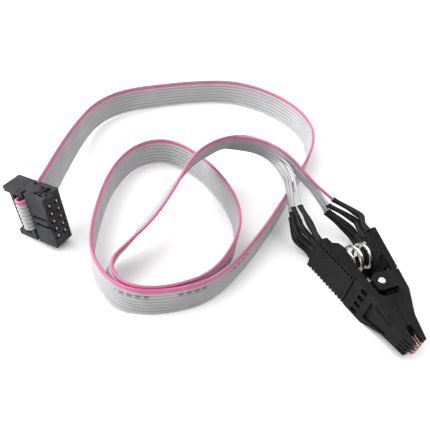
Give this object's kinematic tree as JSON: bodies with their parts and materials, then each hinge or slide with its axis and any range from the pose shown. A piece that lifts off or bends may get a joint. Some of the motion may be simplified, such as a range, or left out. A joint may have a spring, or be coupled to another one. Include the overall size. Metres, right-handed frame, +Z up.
{
  "type": "chip test clip cable",
  "caption": "Spring-loaded test clip that grips a small-outline chip by its leads, on a flat ribbon cable that ends in a keyed box-header socket.",
  "frame": {"origin": "lower end of the hinge pin, on the plane of the clip's lower side, which is also the surface that the cable lies on", "axes": "+X from the handles to the tips, +Y from the front jaw to the rear jaw, +Z up along the hinge pin"},
  "size_m": [0.1225, 0.1063, 0.022],
  "materials": {
    "jaw_plastic": "satin black moulded glass-filled nylon",
    "socket_plastic": "dark grey moulded polyester",
    "pin_steel": "bright ground steel",
    "spring_wire": "nickel-plated spring wire",
    "clip_contact_alloy": "gold-flashed copper alloy strip",
    "socket_contact_alloy": "tin-plated bronze",
    "ribbon_insulation": "light grey soft vinyl",
    "edge_wire_insulation": "pink soft vinyl marking the first conductor",
    "heat_shrink": "black shrunk sleeve"
  },
  "bodies": {
    "front_half": {"front_jaw": "jaw_plastic", "pivot_pin": "pin_steel", "spring": "spring_wire", "contact_5": "clip_contact_alloy", "contact_6": "clip_contact_alloy", "contact_7": "clip_contact_alloy", "contact_8": "clip_contact_alloy", "heat_shrink_5": "heat_shrink", "heat_shrink_6": "heat_shrink", "heat_shrink_7": "heat_shrink", "heat_shrink_8": "heat_shrink", "wire_1": "edge_wire_insulation", "wire_2": "ribbon_insulation", "wire_3": "ribbon_insulation", "wire_4": "ribbon_insulation", "wire_5": "ribbon_insulation", "wire_6": "ribbon_insulation", "wire_7": "ribbon_insulation", "wire_8": "ribbon_insulation", "ribbon_cable": "ribbon_insulation", "ribbon_fold": "ribbon_insulation", "idc_socket_body": "socket_plastic", "idc_cover": "socket_plastic", "idc_strain_relief": "socket_plastic", "idc_contacts": "socket_contact_alloy"},
    "rear_half": {"rear_jaw": "jaw_plastic", "contact_1": "clip_contact_alloy", "contact_2": "clip_contact_alloy", "contact_3": "clip_contact_alloy", "contact_4": "clip_contact_alloy", "heat_shrink_1": "heat_shrink", "heat_shrink_2": "heat_shrink", "heat_shrink_3": "heat_shrink", "heat_shrink_4": "heat_shrink"}
  },
  "joints": [
    {"name": "jaw_pivot", "type": "hinge", "parent": "front_half", "child": "rear_half", "pos_m": [0, 0, 0.0054], "axis": [0, 0, 1], "range_deg": [0, 20], "stiffness_Nm_per_rad": 0.03, "springref_deg": -20.05, "deforming": ["spring", "wire_1", "wire_2", "wire_3", "wire_4"]}
  ]
}
